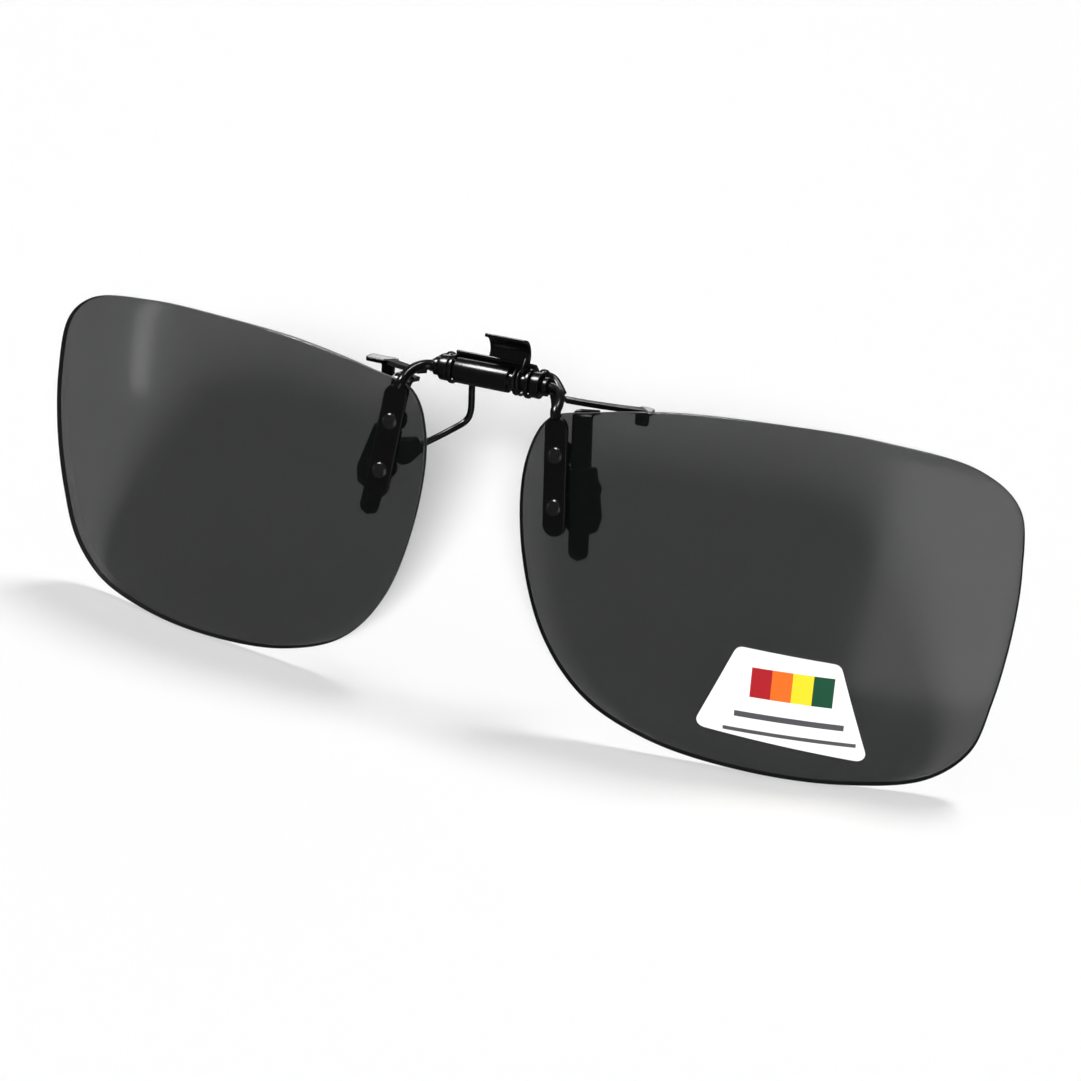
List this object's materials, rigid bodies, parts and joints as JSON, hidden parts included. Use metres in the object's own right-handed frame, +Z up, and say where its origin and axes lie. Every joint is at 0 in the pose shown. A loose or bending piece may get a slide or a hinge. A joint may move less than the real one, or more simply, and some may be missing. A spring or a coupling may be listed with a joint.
{
  "type": "clip on sunglasses",
  "caption": "Flip-up clip-on sunglasses: rimless dark lenses on a hinge barrel, with rubber-tipped prongs and a sprung thumb lever that grip a pair of spectacles.",
  "frame": {"origin": "middle of the hinge axis, over the nose, where the clip sits on the spectacle bridge", "axes": "+Z up as worn; the dark lenses face -Y; +X to the right as seen from the front, along the hinge axis"},
  "size_m": [0.1314, 0.0149, 0.0483],
  "materials": {
    "tinted_lens": "polished, neutral dark grey, see-through",
    "black_metal": "gloss black enamel on steel",
    "rivet_steel": "black-plated steel, polished domes",
    "spring_steel": "blackened drawn wire",
    "soft_rubber": "matt black dipped rubber",
    "sticker_film": null
  },
  "bodies": {
    "clip": {"clip_body": "black_metal", "top_rest_left": "black_metal", "top_rest_right": "black_metal", "front_prong_left": "black_metal", "front_prong_right": "black_metal", "front_sleeve_left": "soft_rubber", "front_sleeve_right": "soft_rubber", "torsion_spring": "spring_steel"},
    "lens_frame": {"lens_left": "tinted_lens", "lens_right": "tinted_lens", "lens_plate_left": "black_metal", "lens_plate_right": "black_metal", "lens_wire": "black_metal", "retaining_collar_left": "black_metal", "retaining_collar_right": "black_metal", "sticker": "sticker_film", "lens_rivet_left_upper": "rivet_steel", "rivet_washer_left_upper": "rivet_steel", "lens_rivet_left_lower": "rivet_steel", "rivet_washer_left_lower": "rivet_steel", "lens_rivet_right_upper": "rivet_steel", "rivet_washer_right_upper": "rivet_steel", "lens_rivet_right_lower": "rivet_steel", "rivet_washer_right_lower": "rivet_steel"},
    "jaw": {"thumb_lever": "black_metal", "rear_wire_left": "black_metal", "rear_wire_right": "black_metal", "rear_pad_left": "soft_rubber", "rear_pad_right": "soft_rubber"}
  },
  "joints": [
    {"name": "lens_flip", "type": "hinge", "parent": "clip", "child": "lens_frame", "pos_m": [0, 0, 0], "axis": [-1, 0, 0], "range_deg": [0, 90]},
    {"name": "jaw_open", "type": "hinge", "parent": "clip", "child": "jaw", "pos_m": [0, 0, 0], "axis": [1, 0, 0], "range_deg": [0, 22], "stiffness_Nm_per_rad": 0.02, "springref_deg": -20.05}
  ]
}
